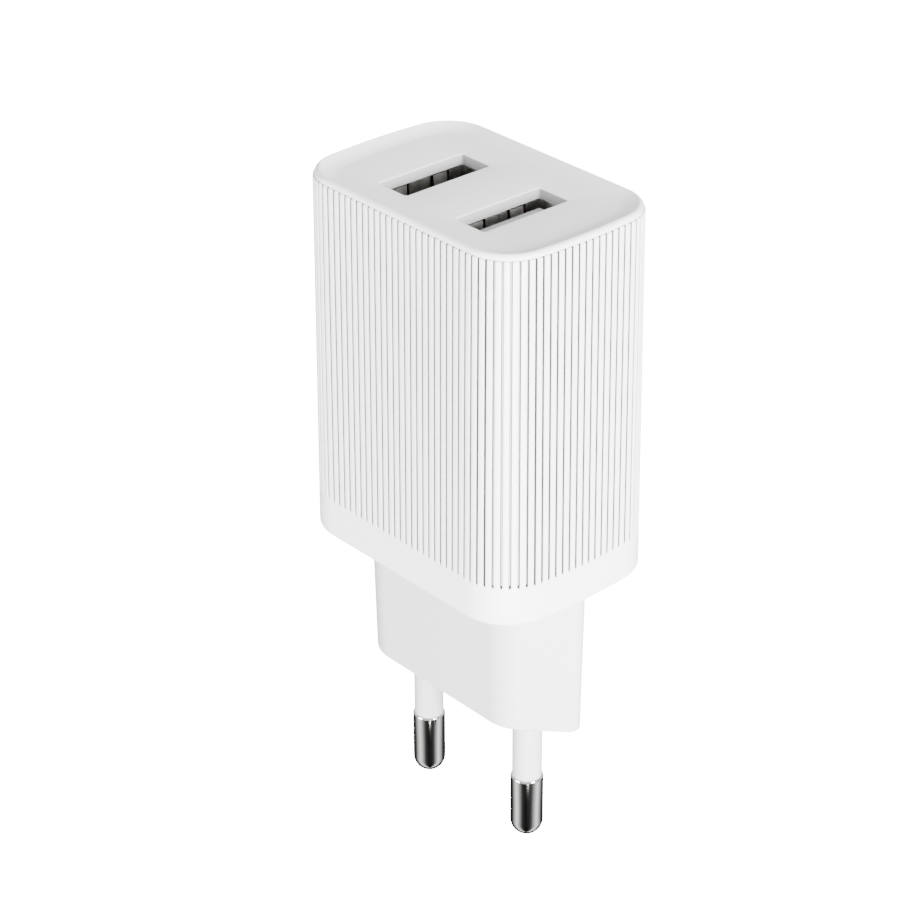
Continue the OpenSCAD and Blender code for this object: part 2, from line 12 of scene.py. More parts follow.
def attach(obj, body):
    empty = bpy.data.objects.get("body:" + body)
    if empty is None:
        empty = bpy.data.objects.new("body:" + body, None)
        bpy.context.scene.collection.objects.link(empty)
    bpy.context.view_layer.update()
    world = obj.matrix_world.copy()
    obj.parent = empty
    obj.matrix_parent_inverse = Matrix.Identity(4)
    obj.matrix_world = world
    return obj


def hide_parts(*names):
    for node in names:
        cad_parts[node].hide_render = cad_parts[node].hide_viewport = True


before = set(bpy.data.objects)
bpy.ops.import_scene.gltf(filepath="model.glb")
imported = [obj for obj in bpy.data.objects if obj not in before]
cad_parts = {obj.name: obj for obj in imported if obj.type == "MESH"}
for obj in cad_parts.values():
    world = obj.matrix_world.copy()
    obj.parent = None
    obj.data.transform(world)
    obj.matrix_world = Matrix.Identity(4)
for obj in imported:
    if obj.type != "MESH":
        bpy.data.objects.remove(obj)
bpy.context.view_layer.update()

# ---- Ribbed shell ----
# The case: a rounded box with slightly bowed short sides that narrows upwards.
# Upright grooves with soft edges run round it, from a smooth band to the seam, with painted shade in them.
shell_foot_z, shell_seam_z = 18.5, 63.4
groove_start_z = 23.5
shell_wall, shell_ledge = 1.8, 0.9
shell_draft = 0.0087
shell_ledge_drop, shell_lip_top = 1.1, 0.8
groove_pitch, groove_depth = 0.99, 0.45
# Painted shade in the grooves: the grey it goes to, and the lesser share that the grooves' floors get.
groove_painted_shade, groove_floor_painted_shade_share = 0.05, 0.2
outline_w, outline_d, outline_corner_r, outline_side_r = 36.8, 24.7, 6.2, 75.0


def outline_lengths():
    """Corner centre (cx, cy), side angle a and the length of a quarter of the outline.

    sin a = cy / (R - r), and the length is cx + r (pi/2 - a) + R a.
    """
    cy = outline_d / 2 - outline_corner_r
    cx = outline_w / 2 - outline_side_r + np.sqrt((outline_side_r - outline_corner_r) ** 2 - cy ** 2)
    a = np.arcsin(cy / (outline_side_r - outline_corner_r))
    return cx, cy, a, cx + outline_corner_r * (np.pi / 2 - a) + outline_side_r * a


def body_outline(s, inset):
    """Points (x, y) at length s anticlockwise from the middle of the front, moved in by inset.

    Each quarter is a straight, then an arc of radius r, then an arc of radius R.
    """
    cx, cy, a, quarter = outline_lengths()
    s, inset = np.broadcast_arrays(np.mod(s, 4 * quarter), inset)
    q = np.minimum((s // quarter).astype(int), 3)
    u = np.where(q % 2 == 0, s - q * quarter, (q + 1) * quarter - s)
    arc = outline_corner_r * (np.pi / 2 - a)
    t = np.clip(u - cx, 0, arc) / outline_corner_r
    w = a - np.clip(u - cx - arc, 0, None) / outline_side_r
    x = np.where(u < cx, u, cx + (outline_corner_r - inset) * np.sin(t))
    y = np.where(u < cx, outline_d / 2 - inset, cy + (outline_corner_r - inset) * np.cos(t))
    on_side = u > cx + arc
    x = np.where(on_side, outline_w / 2 - outline_side_r + (outline_side_r - inset) * np.cos(w), x)
    y = np.where(on_side, (outline_side_r - inset) * np.sin(w), y)
    return np.stack([np.where(q < 2, x, -x), np.where((q == 0) | (q == 3), -y, y)], axis=-1)


def solid_from_grids(name, grids, crease):
    """One closed mesh from grids of points P[i, j] in mm.

    Each cell is a quad, equal points are welded, and the faces turn outwards.
    """
    points, quads, start = [], [], 0
    for g in grids:
        rows, cols = g.shape[:2]
        i, j = np.meshgrid(np.arange(rows - 1), np.arange(cols - 1), indexing="ij")
        k = start + (i * cols + j).ravel()
        quads.append(np.stack([k, k + 1, k + cols + 1, k + cols], axis=1))
        points.append(g.reshape(-1, 3))
        start += rows * cols
    points, quads = np.concatenate(points), np.concatenate(quads)
    _, first, index = np.unique(np.round(points, 4), axis=0, return_index=True, return_inverse=True)
    quads = index.reshape(-1)[quads]
    apart = quads != np.roll(quads, 1, axis=1)
    corners = apart.sum(axis=1)
    faces = quads[corners == 4].tolist() + quads[corners == 3][apart[corners == 3]].reshape(-1, 3).tolist()
    mesh = bpy.data.meshes.new(name)
    mesh.from_pydata((points[first] / 1000).tolist(), [], faces)
    bm = bmesh.new()
    bm.from_mesh(mesh)
    bmesh.ops.recalc_face_normals(bm, faces=bm.faces)
    bm.to_mesh(mesh)
    bm.free()
    mesh.shade_smooth()
    mesh.set_sharp_from_angle(angle=np.radians(crease))
    obj = bpy.data.objects.new(name, mesh)
    bpy.context.scene.collection.objects.link(obj)
    return obj


def groove_columns():
    """Lengths s along the outline, and the share g of the groove's depth at each.

    In each pitch g is 1 inside the groove and eases to 0 over its two edges.
    """
    pitches = 4 * round(outline_lengths()[3] / groove_pitch)
    pitch = 4 * outline_lengths()[3] / pitches
    off = np.array([-0.22, -0.175, -0.15, -0.13, -0.11, -0.04, 0.04, 0.11, 0.13, 0.15, 0.175, 0.22])
    depth = np.array([0, 0.03, 0.12, 0.35, 0.95, 1, 1, 0.95, 0.35, 0.12, 0.03, 0])
    s = (np.arange(pitches)[:, None] + 0.5) * pitch + off
    return s.ravel(), np.tile(depth, pitches)


def ribbed_shell_surface():
    """P(s, z) = outline(s, inset(z) + draft (z - foot) + depth g(s) e(z)).

    The profile runs up the outside and down the inside.
    """
    foot, start, top = shell_foot_z, groove_start_z, shell_seam_z
    foot_edge = [(0.55, foot, 0), (0.4, foot + 0.01, 0), (0.26, foot + 0.06, 0), (0.13, foot + 0.15, 0),
                 (0.04, foot + 0.29, 0), (0, foot + 0.48, 0)]
    band = [(0, foot + 2, 0), (0, foot + 4.1, 0)]
    run_in = [(0, start - 0.18, 0), (0, start - 0.1, 0.12), (0, start - 0.04, 0.4), (0, start + 0.02, 0.72),
              (0, start + 0.1, 0.93), (0, start + 0.22, 1)]
    ribbed = [(0, z, 1) for z in (26, 34, 44, 54, 62)]
    seam_edge = [(0, top - 0.12, 1), (0.03, top - 0.05, 1), (0.08, top - 0.01, 1), (0.14, top, 1)]
    inner_face = shell_wall - shell_draft * (top - foot) + 0.01
    ledge_z = top - shell_ledge_drop
    ledge = [(shell_ledge, top, 0), (shell_ledge, ledge_z, 0), (inner_face, ledge_z, 0)]
    s, g = groove_columns()
    s, g = np.append(s, s[0]), np.append(g, g[0])
    drafted = foot_edge + band + run_in + ribbed + seam_edge + ledge
    rows = [(i + shell_draft * (z - foot), z, e) for i, z, e in drafted]
    lip_z = foot + shell_lip_top
    rows += [(shell_wall, lip_z, 0), (shell_wall + 1, lip_z, 0), (shell_wall + 1, foot, 0), rows[0]]
    grid = []
    for inset, z, e in rows:
        xy = body_outline(s, inset + groove_depth * g * e)
        grid.append(np.column_stack([xy, np.full(len(s), z)]))
    return np.array(grid)


def moulded_plastic(name, colour, roughness, grain, depth):
    """Satin moulding: fine grain in the bump, and a slow change of tone and sheen."""
    mat = bpy.data.materials.new(name)
    mat.use_nodes = True
    nodes, links = mat.node_tree.nodes, mat.node_tree.links
    shader = nodes["Principled BSDF"]
    coords = nodes.new("ShaderNodeTexCoord")
    slow = nodes.new("ShaderNodeTexNoise")
    slow.inputs["Scale"].default_value = 60
    slow.inputs["Detail"].default_value = 3
    links.new(coords.outputs["Object"], slow.inputs["Vector"])
    tone = nodes.new("ShaderNodeMixRGB")
    tone.inputs["Color1"].default_value = [c * 0.985 for c in colour] + [1]
    tone.inputs["Color2"].default_value = [min(1, c * 1.01) for c in colour] + [1]
    links.new(slow.outputs["Fac"], tone.inputs["Fac"])
    links.new(tone.outputs["Color"], shader.inputs["Base Color"])
    sheen = nodes.new("ShaderNodeMapRange")
    sheen.inputs["To Min"].default_value = roughness - 0.04
    sheen.inputs["To Max"].default_value = roughness + 0.04
    links.new(slow.outputs["Fac"], sheen.inputs["Value"])
    links.new(sheen.outputs["Result"], shader.inputs["Roughness"])
    fine = nodes.new("ShaderNodeTexNoise")
    fine.inputs["Scale"].default_value = grain
    fine.inputs["Detail"].default_value = 2
    links.new(coords.outputs["Object"], fine.inputs["Vector"])
    bump = nodes.new("ShaderNodeBump")
    bump.inputs["Strength"].default_value = 0.25
    bump.inputs["Distance"].default_value = depth
    links.new(fine.outputs["Fac"], bump.inputs["Height"])
    links.new(bump.outputs["Normal"], shader.inputs["Normal"])
    shader.inputs["IOR"].default_value = 1.46
    return mat


def mesh_points(obj):
    """The mesh's points (x, y, z) in mm, one row per axis."""
    xyz = np.empty(len(obj.data.vertices) * 3)
    obj.data.vertices.foreach_get("co", xyz)
    return xyz.reshape(-1, 3).T * 1000


def groove_painted_shade_share(x, y, z):
    """How much painted shade each point gets for how far it is down a groove, as a share from 0 to 1.

    With u the depth under the rib faces over the groove's depth it is 4 (u - 0.1) held to 0..1.
    The groove's floor gets only its floor share of that, so less painted shade than the walls.
    """
    cx, cy, a, _ = outline_lengths()
    ax, ay = np.abs(x), np.abs(y)
    narrowed = shell_draft * (z - shell_foot_z)
    flat = outline_d / 2 - ay
    round_in = outline_corner_r - np.hypot(ax - cx, ay - cy)
    from_side_centre = ax - outline_w / 2 + outline_side_r
    bowed = outline_side_r - np.hypot(from_side_centre, ay)
    curved = np.where(np.arctan2(ay, from_side_centre) > a, round_in, bowed)
    under = np.where(ax < cx, flat, curved) - narrowed
    share = np.clip(under / groove_depth, 0, 1) * ((z > groove_start_z - 0.2) & (z < shell_seam_z - 0.01))
    return np.clip((share - 0.1) * 4, 0, 1) * np.where(share > 0.97, groove_floor_painted_shade_share, 1)


def paint_shade_by_share(mat, obj, share, shade):
    """Paints shade into mat's colour: mixes its tone towards the grey shade, by the share that each point
    holds in a mesh attribute.
    """
    obj.data.attributes.new("painted_shade_share", "FLOAT", "POINT").data.foreach_set("value", share.astype(np.float32))
    nodes, links = mat.node_tree.nodes, mat.node_tree.links
    read = nodes.new("ShaderNodeAttribute")
    read.attribute_name = "painted_shade_share"
    shader = nodes["Principled BSDF"]
    under_tone = shader.inputs["Base Color"].links[0].from_socket
    mix = nodes.new("ShaderNodeMixRGB")
    mix.inputs["Color2"].default_value = (shade, shade, shade, 1)
    links.new(read.outputs["Fac"], mix.inputs["Fac"])
    links.new(under_tone, mix.inputs["Color1"])
    links.new(mix.outputs["Color"], shader.inputs["Base Color"])


shell = solid_from_grids("ribbed_shell_look", [ribbed_shell_surface()], 32)
white_case = moulded_plastic("white_case", (0.86, 0.86, 0.865), 0.42, 5200, 0.00001)
shell.data.materials.append(white_case)
# Painted shade: the grooves' walls, and less their floors, are darkened in the base colour for the shade down
# the grooves.
paint_shade_by_share(white_case, shell, groove_painted_shade_share(*mesh_points(shell)), groove_painted_shade)
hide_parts("ribbed_shell")
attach(shell, "charger")

# ---- Top cover ----
# A dished lid with a soft crest all round and a flat floor between the two
# socket openings. It drops into the shell's ledge on a thin skirt.
cover_crest_z, cover_floor_z, cover_under_z = 64.05, 63.3, 62.0
cover_crest_in, cover_floor_in = 0.72, 3.0
opening_half = (2.35, 6.2)
opening_centre = (6.4, -0.6)
opening_corner_r, opening_lip = 0.35, 0.14
# Painted shade on the openings' walls: its grey, the depth under the floor where it starts, and the depth
# over which it grows to full.
opening_painted_shade, opening_painted_shade_start, opening_painted_shade_run = 0.33, 0.03, 0.12
cover_rim_r, cover_skirt_z = 0.52, 60.3


def rounded_rect_ring(angle, centre, half, r):
    """Where the ray at each angle from centre meets a rounded rectangle.

    The length t along the ray is the root of the shape's signed distance, found by halving.
    """
    d = np.stack([np.cos(angle), np.sin(angle)], axis=-1)
    low, high = np.zeros(len(angle)), np.full(len(angle), 20.0)
    for _ in range(44):
        t = (low + high) / 2
        q = np.abs(d * t[:, None]) - (np.array(half) - r)
        inside = np.hypot(*np.maximum(q, 0).T) + np.minimum(q.max(axis=1), 0) - r < 0
        low, high = np.where(inside, t, low), np.where(inside, high, t)
    return np.array(centre) + d * low[:, None]


def cover_surfaces():
    """Rim strips P(s, k) and rings round the openings.

    The strips end down a hollow slope, z = crest - h (2u - u^2). The rings lie flat from there
    to each opening.
    """
    seam_in = shell_draft * (shell_seam_z - shell_foot_z)
    h = cover_crest_z - cover_floor_z
    u = np.linspace(0, 1, 17)
    rim = [(2.95, cover_skirt_z), (2.95, cover_under_z)]
    rim_out = [(1.9, cover_skirt_z), (1.9, 62.33), (0.98, 62.33), (0.98, shell_seam_z), (0.22, shell_seam_z),
               (0.2, shell_seam_z + 0.03)]
    for turn in np.radians(np.linspace(0, 90, 11)):
        rim_in = cover_crest_in - cover_rim_r * np.cos(turn)
        rim_out.append((rim_in, cover_crest_z - cover_rim_r * (1 - np.sin(turn))))
    slope_width = cover_floor_in - cover_crest_in
    slope = [(cover_crest_in + slope_width * v, cover_crest_z - h * (2 * v - v * v)) for v in u[1:]]
    profile = rim[::-1] + rim_out + slope
    grids = []
    quarter = outline_lengths()[3]
    for side in (0, 1):
        s = np.linspace(0, 2 * quarter, 361) + side * 2 * quarter
        strip = [np.column_stack([body_outline(s, seam_in + i), np.full(len(s), z)]) for i, z in profile]
        grids.append(np.array(strip))
        centre = np.array(opening_centre) * ((1, 1) if side == 0 else (-1, 1))
        rings = []
        for edge, z in ((strip[0], cover_under_z), (strip[-1], cover_floor_z)):
            ends = np.linspace(edge[-1, :2], edge[0, :2], 162)[1:]
            rings.append(np.concatenate([edge[:, :2], ends]))
        angle = np.unwrap(np.arctan2(*(rings[1] - centre).T[::-1]))
        patch = [(rings[0], cover_under_z)]
        hole = rounded_rect_ring(angle, centre, opening_half, opening_corner_r)
        patch += [(hole, cover_under_z), (hole, cover_floor_z - opening_lip)]
        for turn in np.radians([22.5, 45, 67.5, 90]):
            grow = opening_lip * (1 - np.cos(turn))
            ring = rounded_rect_ring(angle, centre, np.array(opening_half) + grow, opening_corner_r + grow)
            patch.append((ring, cover_floor_z - opening_lip * (1 - np.sin(turn))))
        patch.append((rings[1], cover_floor_z))
        grids.append(np.array([np.column_stack([xy, np.full(len(xy), z)]) for xy, z in patch]))
    return grids


cover = solid_from_grids("top_cover_look", cover_surfaces(), 32)
white_cover = moulded_plastic("white_cover", (0.83, 0.83, 0.83), 0.36, 5200, 0.000008)
cover.data.materials.append(white_cover)
cover_z = mesh_points(cover)[2]
# Painted shade: the openings' walls below the lip are darkened in the base colour for the shade inside the
# openings.
opening_painted_shade_share = np.clip((cover_floor_z - opening_painted_shade_start - cover_z) / opening_painted_shade_run, 0, 1)
paint_shade_by_share(white_cover, cover, opening_painted_shade_share * (cover_z < cover_floor_z), opening_painted_shade)
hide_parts("top_cover")
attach(cover, "charger")

# ---- Plug block ----
# The narrow six-sided foot that reaches into a recessed wall socket. It flares
# a little upwards and ends in a plate that closes the shell's underside.
block_top_z, plate_top_z, block_floor_z = 18.5, 20.5, 3.0
block_wall, block_lip, block_flare = 1.8, 0.35, 0.02


def hexagon_outline(n, grow):
    """n points at equal lengths round a six-sided outline, anticlockwise from +X. Its corners are arcs."""
    a, b, c = 18.0 + grow, 11.3 + grow / 2, 6.35 + grow
    corners = [(a, 0, 1.2), (b, c, 5), (-b, c, 5), (-a, 0, 1.2), (-b, -c, 5), (b, -c, 5)]
    path = []
    for i, (x, y, r) in enumerate(corners):
        p = np.array([x, y])
        d0 = np.array(corners[i - 1][:2]) - p
        d1 = np.array(corners[(i + 1) % 6][:2]) - p
        d0, d1 = d0 / np.hypot(*d0), d1 / np.hypot(*d1)
        half = np.arccos(d0 @ d1) / 2
        mid = (d0 + d1) / np.hypot(*(d0 + d1))
        turn = np.linspace(-1, 1, 33) * (np.pi / 2 - half) + np.arctan2(-mid[1], -mid[0])
        path.append(p + mid * r / np.sin(half) + r * np.column_stack([np.cos(turn), np.sin(turn)]))
    path = np.concatenate(path)
    path = np.roll(path, -16, axis=0)
    path = np.vstack([path, path[:1]])
    length = np.append(0, np.cumsum(np.hypot(*np.diff(path, axis=0).T)))
    want = np.linspace(0, length[-1], n)
    return np.column_stack([np.interp(want, length, path[:, 0]), np.interp(want, length, path[:, 1])])


def plug_block_surface():
    """Rings P(t, k) up the outside and down the inside.

    Hexagons grow by flare z up the neck, then come the plate's rounded outline and the inner hexagons.
    """
    n = 481
    quarter = outline_lengths()[3]
    around = np.linspace(0, 4, n) * quarter + quarter
    low_plate = body_outline(around, shell_wall + 1.05)
    plate = body_outline(around, shell_wall + 0.05)
    middle = np.zeros((n, 2))
    rows = [(middle, 0.0)]
    for turn in np.radians([0, 18, 36, 54, 72, 90]):
        rows.append((hexagon_outline(n, -block_lip * (1 - np.sin(turn))), block_lip * (1 - np.cos(turn))))
    rows += [(hexagon_outline(n, block_flare * z), z) for z in (2, 6, 12, 17, block_top_z)]
    rabbet_z = block_top_z + shell_lip_top
    rows += [(low_plate, block_top_z), (low_plate, rabbet_z), (plate, rabbet_z), (plate, plate_top_z)]
    inner_levels = (plate_top_z, 12, 4.0, block_floor_z)
    rows += [(hexagon_outline(n, block_flare * z - block_wall), z) for z in inner_levels]
    rows.append((middle, block_floor_z))
    return np.array([np.column_stack([xy, np.full(n, z)]) for xy, z in rows])


block = solid_from_grids("plug_block_look", [plug_block_surface()], 32)
# Painted shade: the block's white plastic gets a greyer tone than the case, for the shade on the neck under
# the shell.
block.data.materials.append(moulded_plastic("white_block_painted_shade", (0.60, 0.60, 0.605), 0.40, 5200, 0.000008))
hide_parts("plug_base")
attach(block, "charger")

# ---- Pins ----
# Round pins with a ball end. The bare metal starts at a softly bevelled
# shoulder, and a thinner core runs on inside the sleeve.
pin_half_spacing, pin_r, pin_core_r = 9.0, 2.0, 1.4
pin_tip_z, pin_shoulder_z, pin_tail_z = -19.0, -10.4, 8.0


def pin_profile():
    """(r, z) up a pin: a quarter circle at the tip, a straight shank, a bevelled shoulder, then the core."""
    t = np.linspace(0, np.pi / 2, 25)
    tip = np.column_stack([pin_r * np.sin(t), pin_tip_z + pin_r * (1 - np.cos(t))])
    low, high = pin_shoulder_z, pin_tail_z
    shoulder = [(pin_r, -14), (pin_r, low - 0.3), (pin_r - 0.03, low - 0.17), (pin_r - 0.09, low - 0.07),
                (pin_r - 0.18, low - 0.01), (pin_r - 0.22, low)]
    core = [(pin_core_r, low), (pin_core_r, high - 0.2), (pin_core_r - 0.2, high), (0, high)]
    return np.vstack([tip, shoulder, core])


def turned_surface(profile, x):
    """P(a, k) = (x + r cos a, r sin a, z) for a full turn of a round the upright line at x."""
    a = np.append(np.linspace(0, 2 * np.pi, 97)[:-1], 0)
    r, z = np.asarray(profile).T[:, :, None]
    return np.stack([x + r * np.cos(a), r * np.sin(a), np.repeat(z, len(a), 1)], axis=-1)


def plated_metal(name, colour, roughness, streak, depth):
    """Plated metal: fine scratches stretched along Z in the roughness and bump, and a slow change of tone."""
    mat = bpy.data.materials.new(name)
    mat.use_nodes = True
    nodes, links = mat.node_tree.nodes, mat.node_tree.links
    shader = nodes["Principled BSDF"]
    shader.inputs["Metallic"].default_value = 1
    coords = nodes.new("ShaderNodeTexCoord")
    place = nodes.new("ShaderNodeMapping")
    place.inputs["Scale"].default_value = (streak, streak, streak * 0.08)
    links.new(coords.outputs["Object"], place.inputs["Vector"])
    lines = nodes.new("ShaderNodeTexNoise")
    lines.inputs["Scale"].default_value = 1
    lines.inputs["Detail"].default_value = 4
    links.new(place.outputs["Vector"], lines.inputs["Vector"])
    tone = nodes.new("ShaderNodeMixRGB")
    tone.inputs["Color1"].default_value = [c * 0.9 for c in colour] + [1]
    tone.inputs["Color2"].default_value = [min(1, c * 1.06) for c in colour] + [1]
    links.new(lines.outputs["Fac"], tone.inputs["Fac"])
    links.new(tone.outputs["Color"], shader.inputs["Base Color"])
    rough = nodes.new("ShaderNodeMapRange")
    rough.inputs["To Min"].default_value = roughness * 0.7
    rough.inputs["To Max"].default_value = roughness * 1.4
    links.new(lines.outputs["Fac"], rough.inputs["Value"])
    links.new(rough.outputs["Result"], shader.inputs["Roughness"])
    bump = nodes.new("ShaderNodeBump")
    bump.inputs["Strength"].default_value = 0.15
    bump.inputs["Distance"].default_value = depth
    links.new(lines.outputs["Fac"], bump.inputs["Height"])
    links.new(bump.outputs["Normal"], shader.inputs["Normal"])
    return mat


polished_nickel = plated_metal("polished_nickel", (0.66, 0.65, 0.64), 0.05, 2500, 0.000002)
for side, place in (("left", -1), ("right", 1)):
    pin = solid_from_grids(f"pin_{side}_look", [turned_surface(pin_profile(), place * pin_half_spacing)], 25)
    pin.data.materials.append(polished_nickel)
    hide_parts(f"pin_{side}")
    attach(pin, "charger")

# ---- Pin sleeves ----
# White insulating tubes round the upper half of each pin. Each ends in a small
# bevel on the pin's shoulder and runs up through the plug block's end wall.
sleeve_r, sleeve_bore_r, sleeve_top_z = 1.8, 1.4, 3.0


def sleeve_profile():
    """(r, z) round the tube's wall: up the outside from a small bevel, over the top and down the bore."""
    low = pin_shoulder_z
    bevel = [(sleeve_bore_r, low), (sleeve_r - 0.07, low), (sleeve_r - 0.02, low + 0.03),
             (sleeve_r, low + 0.09)]
    wall = [(sleeve_r, -5), (sleeve_r, sleeve_top_z), (sleeve_bore_r, sleeve_top_z), (sleeve_bore_r, low)]
    return bevel + wall


# Painted shade: the white tubes get a grey tone for the shade they stand in under the plug block.
sleeve_plastic_painted_shade = moulded_plastic("sleeve_plastic_painted_shade", (0.55, 0.55, 0.555), 0.30, 4200, 0.000006)
for side, place in (("left", -1), ("right", 1)):
    tube = turned_surface(sleeve_profile(), place * pin_half_spacing)
    sleeve = solid_from_grids(f"pin_sleeve_{side}_look", [tube], 25)
    sleeve.data.materials.append(sleeve_plastic_painted_shade)
    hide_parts(f"pin_sleeve_{side}")
    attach(sleeve, "charger")

# ---- Mains strips and fusible resistor ----
# Copper strips carry the mains from the pins' tails up to the main board. A
# dipped resistor stands between them as the fuse.
strip_copper = plated_metal("strip_copper", (0.72, 0.43, 0.24), 0.28, 1800, 0.00001)
for name in ("mains_strip_left", "mains_strip_right"):
    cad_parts[name].data.materials.clear()
    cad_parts[name].data.materials.append(strip_copper)
dipped_green = moulded_plastic("dipped_green", (0.25, 0.42, 0.29), 0.45, 2500, 0.00003)
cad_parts["fusible_resistor"].data.materials.clear()
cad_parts["fusible_resistor"].data.materials.append(dipped_green)

# ---- Boards ----
# The main board stands behind the long wall and the port board lies below the
# sockets. Glass cloth shows through the green mask as a fine weave.


def board_laminate(name, colour, weave):
    """Solder mask over glass cloth: two crossed sine waves in Object space make the weave's tone and bump."""
    mat = bpy.data.materials.new(name)
    mat.use_nodes = True
    nodes, links = mat.node_tree.nodes, mat.node_tree.links
    shader = nodes["Principled BSDF"]
    shader.inputs["Roughness"].default_value = 0.35
    coords = nodes.new("ShaderNodeTexCoord")
    waves = []
    for axis in ("X", "Z"):
        wave = nodes.new("ShaderNodeTexWave")
        wave.bands_direction = axis
        wave.inputs["Scale"].default_value = weave
        wave.inputs["Distortion"].default_value = 0.6
        links.new(coords.outputs["Object"], wave.inputs["Vector"])
        waves.append(wave)
    cross = nodes.new("ShaderNodeMath")
    cross.operation = "MULTIPLY"
    links.new(waves[0].outputs["Fac"], cross.inputs[0])
    links.new(waves[1].outputs["Fac"], cross.inputs[1])
    tone = nodes.new("ShaderNodeMixRGB")
    tone.inputs["Color1"].default_value = [c * 0.85 for c in colour] + [1]
    tone.inputs["Color2"].default_value = [c * 1.2 for c in colour] + [1]
    links.new(cross.outputs["Value"], tone.inputs["Fac"])
    links.new(tone.outputs["Color"], shader.inputs["Base Color"])
    bump = nodes.new("ShaderNodeBump")
    bump.inputs["Strength"].default_value = 0.3
    bump.inputs["Distance"].default_value = 0.00002
    links.new(cross.outputs["Value"], bump.inputs["Height"])
    links.new(bump.outputs["Normal"], shader.inputs["Normal"])
    return mat


green_board = board_laminate("green_board", (0.03, 0.19, 0.08), 900)
for name in ("main_board", "port_board"):
    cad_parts[name].data.materials.clear()
    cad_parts[name].data.materials.append(green_board)

# ---- Parts on the boards ----
# Capacitors in shrink sleeves, moulded packages, ferrite, film, paper and the
# plated link pins. Each node keeps its CAD shape and gets its own finish.
part_finishes = [
    (moulded_plastic("shrink_dark", (0.025, 0.035, 0.05), 0.25, 900, 0.00002),
     ["bulk_capacitor_left", "bulk_capacitor_right", "output_capacitor_lower", "output_capacitor_upper"]),
    (moulded_plastic("moulded_black", (0.02, 0.02, 0.022), 0.55, 6000, 0.00002),
     ["bridge_rectifier", "controller_chip", "optocoupler", "output_rectifier", "charging_chips",
      "transformer_bobbin"]),
    (moulded_plastic("sintered_ferrite", (0.06, 0.06, 0.065), 0.62, 7000, 0.00004),
     ["transformer_core", "filter_choke"]),
    (moulded_plastic("chip_ceramic", (0.42, 0.31, 0.2), 0.5, 5000, 0.00002), ["snubber_parts"]),
    (moulded_plastic("yellow_film", (0.78, 0.6, 0.06), 0.22, 1200, 0.00001), ["transformer_tape"]),
    (moulded_plastic("dipped_blue", (0.05, 0.16, 0.42), 0.35, 1800, 0.00004), ["safety_capacitor"]),
    (moulded_plastic("fish_paper", (0.72, 0.68, 0.56), 0.8, 2400, 0.00004), ["insulation_sheet"]),
    (plated_metal("enamelled_wire", (0.7, 0.33, 0.12), 0.3, 2200, 0.00004), ["transformer_winding"]),
    (plated_metal("tinned_pin", (0.78, 0.7, 0.5), 0.3, 1500, 0.00001), ["board_link_pins"]),
]
for finish, names in part_finishes:
    for name in names:
        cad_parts[name].data.materials.clear()
        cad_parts[name].data.materials.append(finish)

# ---- USB sockets ----
# Nickel-plated steel shells with sprung grips, white tongues and gold-flashed
# contacts, all seen through the openings in the cover.
shell_nickel = plated_metal("shell_nickel", (0.44, 0.435, 0.42), 0.30, 1400, 0.000003)
tongue_white = moulded_plastic("tongue_white", (0.52, 0.53, 0.525), 0.38, 4000, 0.000008)
contact_gold = plated_metal("contact_gold", (0.83, 0.64, 0.27), 0.22, 1600, 0.000004)
for side in ("left", "right"):
    steel_nodes = (f"socket_shell_{side}", f"grip_springs_{side}_inner", f"grip_springs_{side}_outer")
    finishes = [(shell_nickel, steel_nodes),
                (tongue_white, (f"socket_tongue_{side}",)),
                (contact_gold, (f"contact_springs_{side}", f"contact_tails_{side}"))]
    for finish, names in finishes:
        for name in names:
            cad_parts[name].data.materials.clear()
            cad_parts[name].data.materials.append(finish)

# ---- Studio ----
# A white floor far below the charger is the ground that the camera sees. Three
# soft lights stand on the camera's side under a pale sky, which is brighter above.
floor_z, floor_side, floor_glow = -0.30, 6, 16
camera_azimuth, camera_elevation, camera_roll = np.radians([48.47, 29.33, -0.21])
camera_distance, camera_lens = 0.3264, 109.53
camera_target_across, camera_target_z = -0.001744, 0.02896
light_aim_z = 0.03
drum_radius, drum_top_z, drum_foot_z, drum_strength = 150, -40, -290, 2.2


def flat_panel(name, centre, size, facing, emission, colour):
    """A rectangle of size (across, up) metres at centre, its face turned along facing."""
    n = np.array(facing, float) / np.linalg.norm(facing)
    across = np.cross((0, 0, 1), n) if abs(n[2]) < 0.99 else np.array([1.0, 0, 0])
    across /= np.linalg.norm(across)
    up = np.cross(n, across)
    c = np.array(centre)
    signs = ((-1, -1), (1, -1), (1, 1), (-1, 1))
    corners = [c + i * across * size[0] / 2 + j * up * size[1] / 2 for i, j in signs]
    mesh = bpy.data.meshes.new(name)
    mesh.from_pydata([p.tolist() for p in corners], [], [(0, 1, 2, 3)])
    mat = bpy.data.materials.new(name)
    mat.use_nodes = True
    shader = mat.node_tree.nodes["Principled BSDF"]
    shader.inputs["Base Color"].default_value = (*colour, 1)
    shader.inputs["Roughness"].default_value = 0.9
    shader.inputs["Emission Color"].default_value = (1, 1, 1, 1)
    shader.inputs["Emission Strength"].default_value = emission
    mesh.materials.append(mat)
    obj = bpy.data.objects.new(name, mesh)
    bpy.context.scene.collection.objects.link(obj)
    return obj


floor_size = (floor_side, floor_side)
floor = flat_panel("floor", (0, 0, floor_z), floor_size, (0, 0, 1), floor_glow, (0.9, 0.9, 0.9))
floor.visible_diffuse = floor.visible_glossy = floor.visible_shadow = False

toward_camera = np.array([np.sin(camera_azimuth), -np.cos(camera_azimuth), 0])
sight = toward_camera * np.cos(camera_elevation) + np.array([0, 0, np.sin(camera_elevation)])
right = np.array([np.cos(camera_azimuth), np.sin(camera_azimuth), 0])
up = np.cross(sight, right)
target = right * camera_target_across + np.array([0, 0, camera_target_z])
right_r = right * np.cos(camera_roll) + up * np.sin(camera_roll)
up_r = up * np.cos(camera_roll) - right * np.sin(camera_roll)


